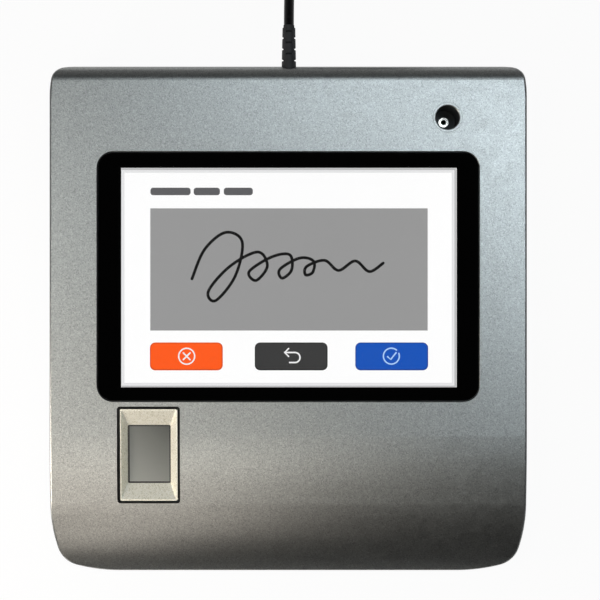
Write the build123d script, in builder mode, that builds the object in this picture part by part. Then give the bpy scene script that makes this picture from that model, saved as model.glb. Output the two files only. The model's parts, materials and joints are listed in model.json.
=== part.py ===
from build123d import *
from math import asin, ceil, cos, pi, radians, sin, sqrt, tan
import os

# A counter signature pad: a wedge-shaped case with a pen display under glass, a fingerprint reader,
# a pen well and a captive cable that ends in a plug. Millimetres, front towards -Y, cable out at +Y.
# The origin is on the table under the middle of the case.

# Case form, seen from above and from the side
case_width = 170.5
case_depth = 181.0
front_height = 6.45
deck_slope = 5.0
roll_run = 48.5
gentle_radius = 160.0
gentle_run = 24.0
front_radius = 60.0
rear_round = 5.5
edge_round = 0.8
rear_lead_radius = 36.0
rear_tight_radius = 5.8
rear_lead_turn = 10.0
front_lead_radius = 60.0
front_tight_radius = 9.0
front_lead_turn = 15.0
wall = 2.4
parting_height = 4.2
overrun = 2.0

# Bottom cover, its lip inside the top cover, and the feet
tray_bottom = 1.5
tray_inset = 0.5
tray_edge_round = 1.0
floor_thickness = 2.2
lip_height = 2.0
lip_thickness = 1.4
lip_gap = 0.15
foot_radius = 7.0
foot_recess = 0.6
foot_edge = 0.4
foot_inset_x = 22.0
foot_inset_rear = 21.0
foot_inset_front = 19.0
fit_gap = 0.1

# Screws that hold the two covers together
screw_radius = 1.3
screw_pilot_gap = 0.05
screw_head_radius = 2.7
screw_head_height = 1.8
screw_recess_radius = 3.1
screw_recess_depth = 2.6
screw_length = 8.0
screw_seat = 2.2
drive_radius = 1.2
post_radius = 4.2
case_screw_inset_x = 8.5
case_screw_inset_rear = 15.0
case_screw_inset_front = 20.0

# Glass and display stack, each layer under the one before, along the deck's normal
side_band = 17.4
rear_band = 31.9
front_band = 61.4
glass_corner = 5.4
glass_thickness = 1.1
glass_sink = 0.2
glass_edge = 0.15
glass_gap = 0.3
opening_chamfer = 0.3
border_left = 8.15
border_right = 7.65
border_front = 4.65
border_rear = 5.35
film_thickness = 0.15
film_inset = 0.2
tape_thickness = 0.2
tape_inset = 0.3
ledge_width = 3.0
ledge_thickness = 1.4
ledge_rim = 2.0
gasket_gap = 0.2
gasket_margin = 0.6
front_sheet_thickness = 0.9
rear_sheet_thickness = 0.9
sheet_margin_x = 3.5
sheet_margin_y = 1.6
driver_ledge = 4.0
driver_width = 24.0
driver_depth = 1.4
driver_height = 0.5
backlight_thickness = 3.0
backlight_margin = 0.8
digitizer_inset_x = 1.85
digitizer_inset_y = 0.7
digitizer_thickness = 1.0
shield_thickness = 0.4
shield_inset = 1.0
bracket_thickness = 1.2
bracket_inset = 0.5
bracket_rail = 9.0
bracket_corner = 2.0
ear_length = 9.0
ear_width = 10.0
ear_corner = 1.0
ear_y_share = 0.36
bracket_boss_radius = 3.0
small_screw_radius = 1.1
small_screw_length = 6.0
small_head_radius = 2.0
small_head_height = 1.3

# Fingerprint reader on its own plane, which tips a little further down than the deck
reader_inset = 6.7
reader_web = 1.85
reader_sink = 0.95
reader_tilt = 2.9
reader_opening_width = 22.5
reader_opening_depth = 34.8
reader_gap = 0.85
reader_corner = 1.1
reader_rim = 0.6
window_width = 15.4
window_depth = 21.0
window_corner = 0.5
funnel_depth = 2.6
window_lip = 0.3
flange_top = 3.1
flange_thickness = 1.1
flange_width = 25.0
flange_depth = 36.0
collar_width = 1.6
prism_margin = 0.9
prism_depth = 7.0
prism_gap = 0.2
reader_housing_depth = 34.0
reader_housing_width = 23.0
reader_housing_height = 8.3
reader_camera_radius = 3.0
reader_board_thickness = 1.2
strap_width = 10.0
strap_length = 41.0
strap_thickness = 1.0
strap_screw_x = 16.5
strap_boss_radius = 2.8
reader_socket_width = 10.0
reader_socket_depth = 4.5
reader_socket_height = 2.0
reader_socket_x = 5.0
reader_socket_y = 13.5

# Pen well at the rear right
well_inset_x = 28.35
well_inset_rear = 19.25
well_bore_radius = 4.25
well_depth = 18.0
well_wall = 1.0
well_floor = 1.2
well_mouth = 0.3
well_flange_radius = 7.5
well_flange_thickness = 1.2
eyelet_radius = 1.8
eyelet_bore_radius = 1.0
eyelet_wall = 0.2
eyelet_head = 0.35
eyelet_gap = 0.05

# Main board and what is on it
board_inset_x = 25.25
board_depth = 70.0
board_rear_inset = 15.5
board_thickness = 1.6
board_corner = 2.0
board_post_height = 3.2
board_post_radius = 3.0
board_hole_inset = 6.0
board_screw_gap = 0.2
processor_size = 14.0
memory_width = 10.0
memory_depth = 8.0
controller_size = 7.0
chip_height = 1.2
capacitor_radius = 3.15
capacitor_height = 5.4
capacitor_edge = 0.5
can_width = 26.0
can_depth = 18.0
can_height = 2.8
can_sheet = 0.3
can_corner = 1.0
socket_height = 2.2
socket_depth = 4.5
socket_margin = 2.0
header_width = 12.5
header_depth = 6.0
header_height = 5.5
header_inset = 4.0
header_edge = 0.4
rear_socket_inset = 21.0
display_flex_x = -20.0
display_flex_width = 22.0
digitizer_flex_x = 26.0
digitizer_flex_width = 15.0
flex_thickness = 0.3
flex_bend = 1.5
flex_bond = 0.9
display_flex_reach = 4.6
digitizer_flex_reach = 2.6
lead_width = 8.0
lead_sag = 3.4
lead_bend = 5.0
lead_socket_inset = 1.0
chip_shares = [(-0.06, -0.08), (0.1, -0.14), (0.1, 0.02), (0.27, -0.1), (-0.02, 0.22)]
capacitor_shares = [(0.24, 0.06), (0.33, 0.06), (0.39, -0.12)]
can_share = (-0.31, -0.04)

# Cable, its strain relief at the rear, and its plug
cable_diameter = 3.64
relief_x = 0.2
relief_drop = 4.86
relief_radius = 2.6
relief_tip_radius = 2.3
relief_length = 14.8
relief_hole_gap = 0.1
relief_groove_width = 0.7
relief_core_radius = 1.95
relief_pitch = 4.1
relief_grooves = 3
relief_first_groove = 4.15
relief_slot_width = 1.0
relief_flange_width = 9.0
relief_flange_height = 7.0
relief_flange_thickness = 2.0
relief_flange_gap = 0.15
plug_width = 15.4
plug_height = 7.8
plug_length = 21.0
plug_corner = 2.0
plug_tail_length = 7.0
plug_tail_radius = 2.7
plug_edge = 0.8
plug_grip_inset = 0.35
plug_grip_width = 9.0
plug_grip_length = 8.0
shell_width = 12.0
shell_height = 4.5
shell_length = 11.8
shell_sheet = 0.3
shell_corner = 0.4
shell_window = 2.0
shell_window_x = 2.5
shell_window_reach = 5.2
tongue_height = 1.8
tongue_gap = 0.1
tongue_inset = 0.8

# Cable coil, wound in layers that spiral in and out again, and the two ties round it
coil_radius = 26.3
coil_pitch = 4.3
coil_rise = 4.2
coil_layers = 4
layer_turns = 2.5625
tie_thickness = 0.8
tie_width = 3.0
tie_gap = 0.3
tie_corner = 1.5
tie_angles = (40.0, 220.0)
coil_probe = 0.0001
gap_samples = 12
half_turn_arcs = 4
bend_share = 0.45

# Route of the free cable from the strain relief down to the coil
cable_drop_points = [
    (0.2, 105.3, 29.6),
    (0.2, 116.5, 29.6),
    (0.9, 130.0, 22.6),
    (2.1, 142.0, 9.2),
    (3.0, 153.0, 2.92),
    (3.0, 166.0, 2.92),
]

# Route of the free end from the coil down to the plug
cable_end_points = [
    (32.94, 195.94, 15.52),
    (44.3, 195.94, 15.52),
    (57.3, 197.2, 10.6),
    (69.3, 198.6, 4.0),
    (80.3, 198.6, 4.0),
]

os.makedirs("parts", exist_ok=True)

slope = radians(deck_slope)
rear_y = case_depth / 2
front_y = -case_depth / 2
half_width = case_width / 2

# Side profile: how far the surface has turned down at the ends of the two arcs, and the drop over each
front_run = roll_run - gentle_run
gentle_turn = asin(sin(slope) + gentle_run / gentle_radius)
front_turn = asin(sin(gentle_turn) + front_run / front_radius)
gentle_drop = gentle_radius * (cos(slope) - cos(gentle_turn))
front_drop = front_radius * (cos(gentle_turn) - cos(front_turn))
roll_y = front_y + roll_run
roll_z = front_height + front_drop + gentle_drop


def deck_z(y):
    """Height of the flat deck at a place along the case."""
    return roll_z + (y - roll_y) * tan(slope)


rear_height = deck_z(rear_y)


def arc_point(centre, radius, turn):
    """Point of the side profile's arcs, by how far the surface has turned down there."""
    return (centre[0] - radius * sin(turn), centre[1] + radius * cos(turn))


def corner_extent(lead_radius, tight_radius, lead_turn):
    """How far an eased corner of three tangent arcs reaches along each of its sides."""
    turn = radians(lead_turn)
    lead = lead_radius * (1 - cos(turn) + sin(turn))
    return lead + tight_radius * (cos(turn) - sin(turn))


gentle_centre = (roll_y + gentle_radius * sin(slope), roll_z - gentle_radius * cos(slope))
front_centre = arc_point(gentle_centre, gentle_radius - front_radius, gentle_turn)


def plan_outline(inset):
    """The case seen from above, drawn in by inset, as a closed wire on the ground plane."""
    side_x = half_width - inset
    front_leads = (front_lead_radius - inset, front_tight_radius - inset)
    rear_leads = (rear_lead_radius - inset, rear_tight_radius - inset)
    front_reach = corner_extent(*front_leads, front_lead_turn)
    rear_reach = corner_extent(*rear_leads, rear_lead_turn)
    with BuildLine() as outline:
        front = Line((0, front_y + inset), (side_x - front_reach, front_y + inset))
        front_in = JernArc(front @ 1, front % 1, front_leads[0], front_lead_turn)
        front_mid = JernArc(front_in @ 1, front_in % 1, front_leads[1], 90 - 2 * front_lead_turn)
        front_out = JernArc(front_mid @ 1, front_mid % 1, front_leads[0], front_lead_turn)
        side = Line(front_out @ 1, (side_x, rear_y - inset - rear_reach))
        rear_in = JernArc(side @ 1, side % 1, rear_leads[0], rear_lead_turn)
        rear_mid = JernArc(rear_in @ 1, rear_in % 1, rear_leads[1], 90 - 2 * rear_lead_turn)
        rear_out = JernArc(rear_mid @ 1, rear_mid % 1, rear_leads[0], rear_lead_turn)
        Line(rear_out @ 1, (0, rear_y - inset))
        mirror(about=Plane.YZ)
    return outline.line


def case_form(inset, low, eased=False):
    """The solid under the case's skin, drawn in by inset, down to the height low."""
    gentle = gentle_radius - inset
    steep = front_radius - inset
    lip_turn = asin((front_centre[0] - front_y - inset) / steep)
    flat_end = arc_point(gentle_centre, gentle, slope)
    gentle_mid = arc_point(gentle_centre, gentle, (slope + gentle_turn) / 2)
    gentle_end = arc_point(gentle_centre, gentle, gentle_turn)
    steep_mid = arc_point(front_centre, steep, (gentle_turn + lip_turn) / 2)
    lip = arc_point(front_centre, steep, lip_turn)
    back = (rear_y - inset, deck_z(rear_y - inset) - inset / cos(slope))
    with BuildPart() as form:
        with BuildSketch(Plane.YZ):
            with BuildLine():
                ThreePointArc(lip, steep_mid, gentle_end)
                ThreePointArc(gentle_end, gentle_mid, flat_end)
                Polyline(flat_end, back, (back[0], low), (lip[0], low), lip)
            make_face()
            fillet(vertices().sort_by(Axis.Y)[-1], rear_round - inset)
        extrude(amount=case_width, both=True)
        with BuildSketch(Plane.XY.offset(low)):
            add(plan_outline(inset))
            make_face()
        extrude(amount=rear_height, mode=Mode.INTERSECT)
        if eased:
            above = [edge for edge in form.edges() if edge.bounding_box().min.Z > low + edge_round]
            rim = [edge for edge in above if not crosses_case(edge)]
            fillet(rim, edge_round)
    return form.part


def crosses_case(edge):
    """Whether an edge runs straight across the deck, behind the front lip."""
    level = abs((edge % (1 / 2)).X) > cos(slope)
    return level and (edge @ (1 / 2)).Y > front_y + edge_round


def deck_frame(x, y, lift, tilt):
    """A plane on the deck at x and y, lifted along the deck's normal and tilted further down."""
    away = Vector(0, -sin(slope), cos(slope))
    along = Vector(0, cos(slope), sin(slope))
    point = Vector(x, 0, deck_z(0)) + along * y + away * lift
    turned = slope + radians(tilt)
    return Plane(origin=point, x_dir=(1, 0, 0), z_dir=(0, -sin(turned), cos(turned)))


def plate(plane, bottom, thickness, centre, size, corner, hole_centre=(0, 0), hole=None, hole_corner=0):
    """A flat layer of a stack, its underside bottom below the plane, with one window if hole is given."""
    with BuildPart() as layer:
        with BuildSketch(plane.offset(-bottom)):
            with Locations(centre):
                RectangleRounded(*size, corner)
            if hole:
                with Locations(hole_centre):
                    if hole_corner:
                        RectangleRounded(*hole, hole_corner, mode=Mode.SUBTRACT)
                    else:
                        Rectangle(*hole, mode=Mode.SUBTRACT)
        extrude(amount=thickness)
    return layer


# Glass, picture, digitizer, reader and well, placed along the deck from the edges of the case
deck_rear = rear_y / cos(slope)
glass_width = case_width - 2 * side_band
glass_depth = 2 * deck_rear - rear_band - front_band
display_y = deck_rear - rear_band - glass_depth / 2
view_width = glass_width - border_left - border_right
view_depth = glass_depth - border_front - border_rear
view_x = (border_left - border_right) / 2
view_y = display_y + (border_front - border_rear) / 2
digitizer_width = glass_width - 2 * digitizer_inset_x
digitizer_depth = glass_depth - 2 * digitizer_inset_y
reader_x = -glass_width / 2 + reader_inset + reader_opening_width / 2
reader_y = display_y - glass_depth / 2 - glass_gap - reader_web - reader_opening_depth / 2
well_x = half_width - well_inset_x
well_y = deck_rear - well_inset_rear
deck = deck_frame(0, 0, 0, 0)
reader = deck_frame(reader_x, reader_y, -reader_sink, reader_tilt)

# Depths in the display stack, each layer's underside below the deck
glass_bottom = glass_sink + glass_thickness
film_bottom = glass_bottom + film_thickness
ledge_top = film_bottom + tape_thickness
ledge_bottom = ledge_top + ledge_thickness
front_sheet_bottom = ledge_bottom + front_sheet_thickness
rear_sheet_bottom = front_sheet_bottom + rear_sheet_thickness
backlight_bottom = rear_sheet_bottom + backlight_thickness
digitizer_bottom = backlight_bottom + digitizer_thickness
shield_bottom = digitizer_bottom + shield_thickness
bracket_bottom = shield_bottom + bracket_thickness
ledge_size = (glass_width - 2 * ledge_width, glass_depth - 2 * ledge_width)
ledge_corner = glass_corner - ledge_width
bracket_size = (digitizer_width + 2 * bracket_inset, digitizer_depth + 2 * bracket_inset)
ear_x = bracket_size[0] / 2 + ear_length - ear_width / 2
ear_y = digitizer_depth * ear_y_share
ear_places = [(x, display_y + y) for x in (-ear_x, ear_x) for y in (-ear_y, ear_y)]

# Places of the screws that join the covers, and the height of the posts' tops
seat_top = tray_bottom + screw_recess_depth + screw_seat
case_screw_x = half_width - case_screw_inset_x
case_screw_places = [
    (side * case_screw_x, y)
    for side in (-1, 1)
    for y in (front_y + case_screw_inset_front, 0, rear_y - case_screw_inset_rear)
]
floor_top = tray_bottom + floor_thickness
relief_z = rear_height - relief_drop
reader_hole = (reader_opening_width, reader_opening_depth)
well_axis = deck_frame(well_x, well_y, 0, 0)
strap_top = flange_top + flange_thickness + reader_housing_height + reader_board_thickness
strap_places = [(-strap_screw_x, 0), (strap_screw_x, 0)]

# Top cover: ribs, bosses and ledges under the skin first, then the shell with its openings
case_solid = case_form(0, parting_height, eased=True)
case_hollow = case_form(wall, parting_height - overrun)
rib_limit = case_form(wall / 2, parting_height)
with BuildPart() as cover_ribs:
    with BuildSketch(deck.offset(-ledge_bottom)):
        with Locations((0, display_y)):
            rim = 2 * (glass_gap + ledge_rim)
            RectangleRounded(glass_width + rim, glass_depth + rim, glass_corner + ledge_rim)
    extrude(amount=ledge_bottom)
    with BuildSketch(reader.offset(-flange_top)):
        collar = 2 * collar_width
        RectangleRounded(reader_hole[0] + collar, reader_hole[1] + collar, collar_width)
    extrude(amount=flange_top)
    with BuildSketch(deck.offset(-shield_bottom)):
        with Locations(*ear_places):
            Circle(bracket_boss_radius)
    extrude(amount=shield_bottom)
    with BuildSketch(reader.offset(-strap_top)):
        with Locations(*strap_places):
            Circle(strap_boss_radius)
    extrude(amount=strap_top)
    with BuildSketch(Plane.XY.offset(seat_top)):
        with Locations(*case_screw_places):
            Circle(post_radius)
    extrude(amount=rear_height)
    add(rib_limit, mode=Mode.INTERSECT)

with BuildPart() as top_cover:
    add(case_solid)
    add(case_hollow, mode=Mode.SUBTRACT)
    add(cover_ribs.part)
    # Glass opening down to its ledge, with a chamfered mouth, and the window through the ledge
    opening = (glass_width + 2 * glass_gap, glass_depth + 2 * glass_gap)
    with BuildSketch(deck.offset(-ledge_top)):
        with Locations((0, display_y)):
            RectangleRounded(*opening, glass_corner + glass_gap)
    extrude(amount=ledge_top + overrun, mode=Mode.SUBTRACT)
    with BuildSketch(deck.offset(-opening_chamfer)):
        with Locations((0, display_y)):
            RectangleRounded(*opening, glass_corner + glass_gap)
    extrude(amount=2 * opening_chamfer, taper=-45, mode=Mode.SUBTRACT)
    with BuildSketch(deck.offset(-ledge_bottom - overrun)):
        with Locations((0, display_y)):
            RectangleRounded(*ledge_size, ledge_corner)
    extrude(amount=ledge_bottom + overrun, mode=Mode.SUBTRACT)
    # Opening for the fingerprint reader
    with BuildSketch(reader.offset(-flange_top - overrun)):
        RectangleRounded(*reader_hole, reader_corner)
    extrude(amount=flange_top + 2 * overrun, mode=Mode.SUBTRACT)
    # Hole for the pen well's rim
    with BuildSketch(well_axis.offset(-wall - overrun)):
        Circle(well_bore_radius + well_wall + fit_gap)
    extrude(amount=wall + 2 * overrun, mode=Mode.SUBTRACT)
    # Hole for the cable's strain relief, through the rear wall and its rounded edge
    with BuildSketch(Plane.XZ.offset(-rear_y - overrun)):
        with Locations((relief_x, relief_z)):
            Circle(relief_radius + relief_hole_gap)
    extrude(amount=wall + relief_flange_thickness + overrun, mode=Mode.SUBTRACT)
    # Pilot holes in the bosses
    with BuildSketch(Plane.XY.offset(seat_top)):
        with Locations(*case_screw_places):
            Circle(screw_radius + screw_pilot_gap)
    extrude(amount=screw_length - screw_seat + fit_gap, mode=Mode.SUBTRACT)
    with BuildSketch(deck.offset(-shield_bottom)):
        with Locations(*ear_places):
            Circle(small_screw_radius + screw_pilot_gap)
    extrude(amount=small_screw_length, mode=Mode.SUBTRACT)
    with BuildSketch(reader.offset(-strap_top)):
        with Locations(*strap_places):
            Circle(small_screw_radius + screw_pilot_gap)
    extrude(amount=small_screw_length, mode=Mode.SUBTRACT)
top_cover.part.label = "top_cover"
export_step(top_cover.part, "parts/top_cover.step")

# Bottom cover: a shallow tray whose lip stands inside the top cover, with screw and board posts
foot_places = {
    "front_left_foot": (-half_width + foot_inset_x, front_y + foot_inset_front),
    "front_right_foot": (half_width - foot_inset_x, front_y + foot_inset_front),
    "rear_left_foot": (-half_width + foot_inset_x, rear_y - foot_inset_rear),
    "rear_right_foot": (half_width - foot_inset_x, rear_y - foot_inset_rear),
}
board_width = case_width - 2 * board_inset_x
board_front = rear_y - board_rear_inset - board_depth
board_hole_x = board_width / 2 - board_hole_inset
board_hole_ys = (board_front + board_hole_inset, board_front + board_depth - board_hole_inset)
board_holes = [(x, y) for x in (-board_hole_x, board_hole_x) for y in board_hole_ys]
board_bottom = floor_top + board_post_height
board_top = board_bottom + board_thickness
lip_limit = case_form(wall + lip_gap, floor_top)
with BuildPart() as lip_ring:
    with BuildSketch(Plane.XY.offset(floor_top)):
        add(plan_outline(wall + lip_gap))
        make_face()
    extrude(amount=parting_height - floor_top + lip_height)
    with BuildSketch(Plane.XY.offset(floor_top)):
        add(plan_outline(wall + lip_gap + lip_thickness))
        make_face()
    extrude(amount=parting_height - floor_top + lip_height, mode=Mode.SUBTRACT)
    add(lip_limit, mode=Mode.INTERSECT)

with BuildPart() as bottom_cover:
    with BuildSketch(Plane.XY.offset(tray_bottom)):
        add(plan_outline(tray_inset))
        make_face()
    extrude(amount=parting_height - tray_bottom)
    fillet(bottom_cover.edges().group_by(Axis.Z)[0], tray_edge_round)
    with BuildSketch(Plane.XY.offset(floor_top)):
        add(plan_outline(wall + lip_gap + lip_thickness))
        make_face()
    extrude(amount=parting_height, mode=Mode.SUBTRACT)
    add(lip_ring.part)
    with BuildSketch(Plane.XY.offset(floor_top)):
        with Locations(*board_holes):
            Circle(board_post_radius)
    extrude(amount=board_post_height)
    with BuildSketch(Plane.XY.offset(tray_bottom)):
        with Locations(*case_screw_places):
            Circle(post_radius)
    extrude(amount=seat_top - tray_bottom)
    with BuildSketch(Plane.XY.offset(tray_bottom)):
        with Locations(*case_screw_places):
            Circle(screw_recess_radius)
    extrude(amount=screw_recess_depth, mode=Mode.SUBTRACT)
    with BuildSketch(Plane.XY.offset(tray_bottom)):
        with Locations(*case_screw_places):
            Circle(screw_radius + fit_gap)
    extrude(amount=seat_top, mode=Mode.SUBTRACT)
    with BuildSketch(Plane.XY.offset(tray_bottom)):
        with Locations(*foot_places.values()):
            Circle(foot_radius + fit_gap)
    extrude(amount=foot_recess, mode=Mode.SUBTRACT)
    with BuildSketch(Plane.XY.offset(floor_top)):
        with Locations(*board_holes):
            Circle(small_screw_radius + screw_pilot_gap)
    extrude(amount=board_post_height, mode=Mode.SUBTRACT)
bottom_cover.part.label = "bottom_cover"
export_step(bottom_cover.part, "parts/bottom_cover.step")

# Rubber feet, glued into their recesses
for foot_name, foot_place in foot_places.items():
    with BuildPart() as foot:
        with BuildSketch(Plane.XY):
            with Locations(foot_place):
                Circle(foot_radius)
        extrude(amount=tray_bottom + foot_recess)
        chamfer(foot.edges().group_by(Axis.Z)[0], foot_edge)
    foot.part.label = foot_name
    export_step(foot.part, "parts/" + foot_name + ".step")


def screws(plane, places, length, radius, head_radius, head_height):
    """Pan head screws with a cross recess, heads below the plane and shanks along its normal."""
    with BuildPart() as group:
        with BuildSketch(plane):
            with Locations(*places):
                Circle(radius)
        extrude(amount=length)
        with BuildSketch(plane.offset(-head_height)):
            with Locations(*places):
                Circle(head_radius)
        extrude(amount=head_height)
        with BuildSketch(plane.offset(-head_height)):
            with Locations(*places):
                Rectangle(drive_radius * head_radius / radius, drive_radius / 2)
                Rectangle(drive_radius / 2, drive_radius * head_radius / radius)
        extrude(amount=head_height / 2, mode=Mode.SUBTRACT)
    return group


screw_plane = Plane.XY.offset(tray_bottom + screw_recess_depth)
case_screws = screws(
    screw_plane, case_screw_places, screw_length, screw_radius, screw_head_radius, screw_head_height
)
case_screws.part.label = "case_screws"
export_step(case_screws.part, "parts/case_screws.step")

# Cover glass, flush with the deck, and the printed black border on its underside
with BuildPart() as touch_glass:
    with BuildSketch(deck.offset(-glass_bottom)):
        with Locations((0, display_y)):
            RectangleRounded(glass_width, glass_depth, glass_corner)
    extrude(amount=glass_thickness - glass_edge)
    with BuildSketch(deck.offset(-glass_sink - glass_edge)):
        with Locations((0, display_y)):
            RectangleRounded(glass_width, glass_depth, glass_corner)
    extrude(amount=glass_edge, taper=45)
touch_glass.part.label = "touch_glass"
export_step(touch_glass.part, "parts/touch_glass.step")

border_size = (glass_width - 2 * film_inset, glass_depth - 2 * film_inset)
border_film = plate(
    deck, film_bottom, film_thickness, (0, display_y), border_size, glass_corner - film_inset,
    (view_x, view_y), (view_width, view_depth),
)
border_film.part.label = "border_film"
export_step(border_film.part, "parts/border_film.step")

tape_size = (glass_width - 2 * tape_inset, glass_depth - 2 * tape_inset)
glass_tape = plate(
    deck, ledge_top, tape_thickness, (0, display_y), tape_size, glass_corner - tape_inset,
    (0, display_y), ledge_size, ledge_corner,
)
glass_tape.part.label = "glass_tape"
export_step(glass_tape.part, "parts/glass_tape.step")

gasket_size = (ledge_size[0] - 2 * gasket_gap, ledge_size[1] - 2 * gasket_gap)
gasket_hole = (view_width + 2 * gasket_margin, view_depth + 2 * gasket_margin)
display_gasket = plate(
    deck, ledge_bottom, ledge_bottom - film_bottom, (0, display_y), gasket_size, ledge_corner - gasket_gap,
    (view_x, view_y), gasket_hole,
)
display_gasket.part.label = "display_gasket"
export_step(display_gasket.part, "parts/display_gasket.step")

# Display panel: a front sheet and a longer rear sheet whose ledge carries the driver chip
front_sheet = (view_width + 2 * sheet_margin_x, view_depth + 2 * sheet_margin_y)
rear_sheet = (front_sheet[0], front_sheet[1] + driver_ledge)
rear_sheet_y = view_y + driver_ledge / 2
with BuildPart() as display_panel:
    with BuildSketch(deck.offset(-front_sheet_bottom)):
        with Locations((view_x, view_y)):
            Rectangle(*front_sheet)
    extrude(amount=front_sheet_thickness)
    with BuildSketch(deck.offset(-rear_sheet_bottom)):
        with Locations((view_x, rear_sheet_y)):
            Rectangle(*rear_sheet)
    extrude(amount=rear_sheet_thickness)
display_panel.part.label = "display_panel"
export_step(display_panel.part, "parts/display_panel.step")

driver_y = view_y + front_sheet[1] / 2 + driver_ledge / 2
with BuildPart() as display_driver:
    with BuildSketch(deck.offset(-front_sheet_bottom)):
        with Locations((view_x, driver_y)):
            Rectangle(driver_width, driver_depth)
    extrude(amount=driver_height)
display_driver.part.label = "display_driver"
export_step(display_driver.part, "parts/display_driver.step")

backlight_size = (rear_sheet[0] + 2 * backlight_margin, rear_sheet[1] + 2 * backlight_margin)
backlight = plate(
    deck, backlight_bottom, backlight_thickness, (view_x, rear_sheet_y), backlight_size, backlight_margin
)
backlight.part.label = "backlight"
export_step(backlight.part, "parts/backlight.step")

digitizer_board = plate(
    deck, digitizer_bottom, digitizer_thickness, (0, display_y), (digitizer_width, digitizer_depth),
    bracket_corner,
)
digitizer_board.part.label = "digitizer_board"
export_step(digitizer_board.part, "parts/digitizer_board.step")

shield_size = (digitizer_width - 2 * shield_inset, digitizer_depth - 2 * shield_inset)
shield_plate = plate(
    deck, shield_bottom, shield_thickness, (0, display_y), shield_size, bracket_corner
)
shield_plate.part.label = "shield_plate"
export_step(shield_plate.part, "parts/shield_plate.step")

# Sheet metal bracket: a frame with a cross rail and four ears that screw up into the top cover
bracket_window = ((bracket_size[0] - bracket_rail) / 2 - bracket_rail, bracket_size[1] - 2 * bracket_rail)
bracket_window_x = (bracket_window[0] + bracket_rail) / 2
with BuildPart() as display_bracket:
    with BuildSketch(deck.offset(-bracket_bottom)):
        with Locations((0, display_y)):
            RectangleRounded(*bracket_size, bracket_corner)
        for ear_side in (-1, 1):
            for ear_end in (-1, 1):
                ear_middle = bracket_size[0] / 2 + (ear_length - bracket_corner) / 2
                with Locations((ear_side * ear_middle, display_y + ear_end * ear_y)):
                    RectangleRounded(ear_length + bracket_corner, ear_width, ear_corner)
        with Locations(*ear_places):
            Circle(small_screw_radius + fit_gap, mode=Mode.SUBTRACT)
        with Locations((-bracket_window_x, display_y), (bracket_window_x, display_y)):
            RectangleRounded(*bracket_window, bracket_corner, mode=Mode.SUBTRACT)
    extrude(amount=bracket_thickness)
display_bracket.part.label = "display_bracket"
export_step(display_bracket.part, "parts/display_bracket.step")

bracket_screws = screws(
    deck.offset(-bracket_bottom), ear_places, small_screw_length, small_screw_radius,
    small_head_radius, small_head_height,
)
bracket_screws.part.label = "bracket_screws"
export_step(bracket_screws.part, "parts/bracket_screws.step")

# Fingerprint reader: a bezel whose funnel leads down to the window, with a flange under the cover
flange_bottom = flange_top + flange_thickness
window_bottom = funnel_depth + window_lip
bezel_size = (reader_opening_width - 2 * reader_gap, reader_opening_depth - 2 * reader_gap)
prism_size = (window_width + 2 * prism_margin, window_depth + 2 * prism_margin)
prism_pocket = (prism_size[0] + 2 * prism_gap, prism_size[1] + 2 * prism_gap)
with BuildPart() as fingerprint_bezel:
    with BuildSketch(reader.offset(-flange_top)):
        RectangleRounded(*bezel_size, reader_corner)
    extrude(amount=flange_top)
    with BuildSketch(reader.offset(-flange_bottom)):
        RectangleRounded(flange_width, flange_depth, reader_corner)
    extrude(amount=flange_thickness)
    with BuildSketch(reader):
        RectangleRounded(bezel_size[0] - 2 * reader_rim, bezel_size[1] - 2 * reader_rim, window_corner)
    with BuildSketch(reader.offset(-funnel_depth)):
        RectangleRounded(window_width, window_depth, window_corner)
    loft(mode=Mode.SUBTRACT)
    with BuildSketch(reader.offset(-window_bottom)):
        RectangleRounded(window_width, window_depth, window_corner)
    extrude(amount=window_lip, mode=Mode.SUBTRACT)
    with BuildSketch(reader.offset(-flange_bottom)):
        Rectangle(*prism_pocket)
    extrude(amount=flange_bottom - window_bottom, mode=Mode.SUBTRACT)
fingerprint_bezel.part.label = "fingerprint_bezel"
export_step(fingerprint_bezel.part, "parts/fingerprint_bezel.step")

# The finger rests on the top face of a glass prism; a slanted end turns the picture to the camera
prism_bottom = window_bottom + prism_depth
with BuildPart() as fingerprint_prism:
    with BuildSketch(reader.offset(-prism_bottom)):
        Rectangle(*prism_size)
    extrude(amount=prism_depth)
    low_edges = fingerprint_prism.edges().filter_by(Axis.X).group_by(Axis.Z)[0]
    chamfer(low_edges.sort_by(Axis.Y)[-1], prism_depth / 2)
fingerprint_prism.part.label = "fingerprint_prism"
export_step(fingerprint_prism.part, "parts/fingerprint_prism.step")

housing_bottom = flange_bottom + reader_housing_height
with BuildPart() as fingerprint_housing:
    with BuildSketch(reader.offset(-housing_bottom)):
        RectangleRounded(reader_housing_width, reader_housing_depth, reader_corner)
    extrude(amount=reader_housing_height)
    with BuildSketch(reader.offset(-prism_bottom)):
        Rectangle(*prism_pocket)
    extrude(amount=prism_bottom, mode=Mode.SUBTRACT)
    with BuildSketch(reader.offset(-housing_bottom)):
        Circle(reader_camera_radius)
    extrude(amount=reader_housing_height, mode=Mode.SUBTRACT)
fingerprint_housing.part.label = "fingerprint_housing"
export_step(fingerprint_housing.part, "parts/fingerprint_housing.step")

fingerprint_board = plate(
    reader, strap_top, reader_board_thickness, (0, 0),
    (reader_housing_width - reader_corner, reader_housing_depth - reader_corner), reader_corner,
)
fingerprint_board.part.label = "fingerprint_board"
export_step(fingerprint_board.part, "parts/fingerprint_board.step")

# A metal strap under the reader, screwed up into two bosses of the top cover
with BuildPart() as fingerprint_strap:
    with BuildSketch(reader.offset(-strap_top - strap_thickness)):
        RectangleRounded(strap_length, strap_width, reader_corner)
        with Locations(*strap_places):
            Circle(small_screw_radius + fit_gap, mode=Mode.SUBTRACT)
    extrude(amount=strap_thickness)
fingerprint_strap.part.label = "fingerprint_strap"
export_step(fingerprint_strap.part, "parts/fingerprint_strap.step")

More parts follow.
